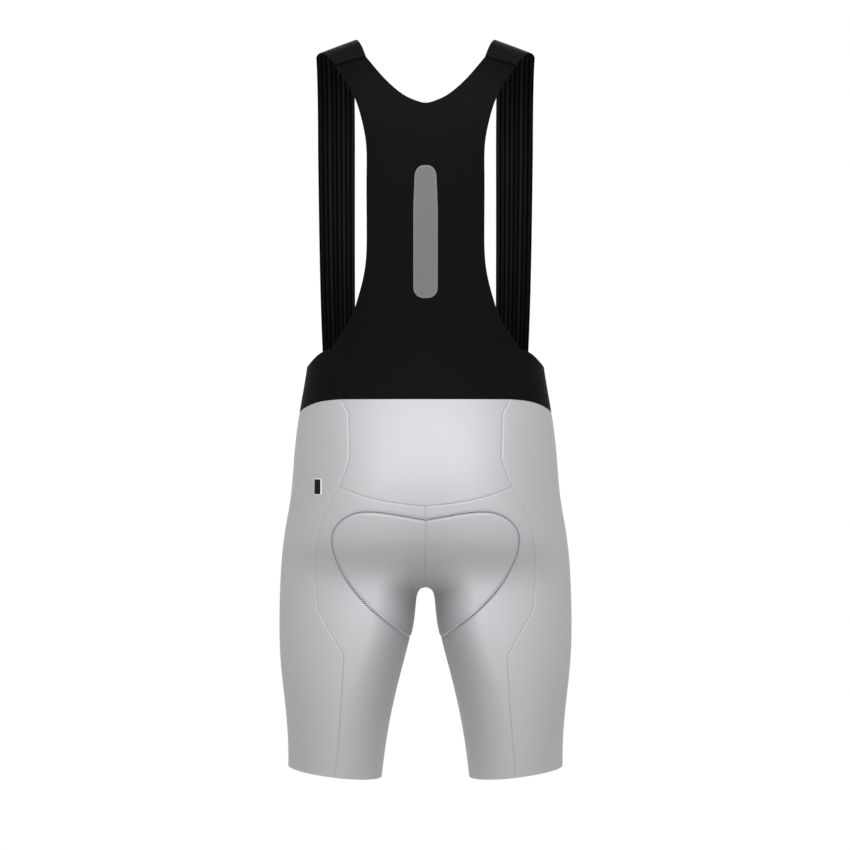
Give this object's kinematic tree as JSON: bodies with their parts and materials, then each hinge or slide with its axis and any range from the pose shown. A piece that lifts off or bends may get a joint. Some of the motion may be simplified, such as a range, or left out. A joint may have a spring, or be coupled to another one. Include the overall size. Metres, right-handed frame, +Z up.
{
  "type": "cycling bib shorts",
  "caption": "Hollow cycling bib shorts filled out as worn: pale grey panelled legs, a black waist and bib back with a neck scoop, a grey centre strip and ribbed shoulder straps.",
  "frame": {"origin": "midway between the two straps, level with their undersides on top of the shoulders", "axes": "+Z up, towards the shoulders; -Y the way the wearer faces; +X the wearer's left"},
  "size_m": [0.3506, 0.224, 0.8832],
  "materials": {
    "pale_knit": "satin",
    "black_knit": "matt",
    "black_elastic": "matt",
    "grey_tape": "satin",
    "black_patch": "satin"
  },
  "bodies": {
    "root": {"back_left": "pale_knit", "back_right": "pale_knit", "front_left": "pale_knit", "front_right": "pale_knit", "back_yoke": "pale_knit", "waist_front": "black_knit", "bib_back": "black_knit", "strap_left": "black_elastic", "strap_right": "black_elastic", "back_strip": "grey_tape", "hip_label": "black_patch"}
  },
  "joints": []
}
